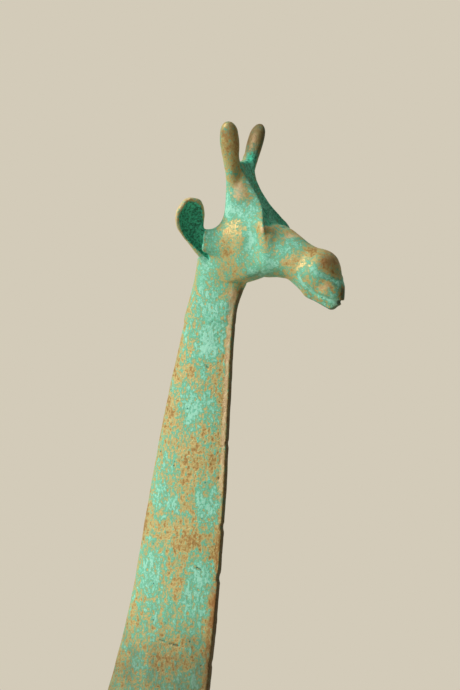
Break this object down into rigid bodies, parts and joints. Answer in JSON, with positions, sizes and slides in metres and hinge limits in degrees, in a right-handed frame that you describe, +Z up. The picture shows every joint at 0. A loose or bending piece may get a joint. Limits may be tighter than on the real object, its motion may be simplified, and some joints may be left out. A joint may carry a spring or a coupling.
{
  "type": "giraffe statue",
  "caption": "Slender standing giraffe in patinated cast bronze: blade-like neck, drooping muzzle, horns in a V, leaf ears, sloping body, long tapering legs and a hanging tail.",
  "frame": {"origin": "middle of the object's footprint box, on the ground under the hooves", "axes": "+Z up, +X the way the giraffe looks, +Y towards its left side"},
  "size_m": [0.1641, 0.06, 0.555],
  "materials": {
    "patinated_bronze": "satin"
  },
  "bodies": {
    "root": {"head": "patinated_bronze", "horn_right": "patinated_bronze", "horn_left": "patinated_bronze", "ear_right": "patinated_bronze", "ear_left": "patinated_bronze", "neck": "patinated_bronze", "body": "patinated_bronze", "leg_front_right": "patinated_bronze", "leg_front_left": "patinated_bronze", "leg_rear_right": "patinated_bronze", "leg_rear_left": "patinated_bronze", "tail": "patinated_bronze"}
  },
  "joints": []
}
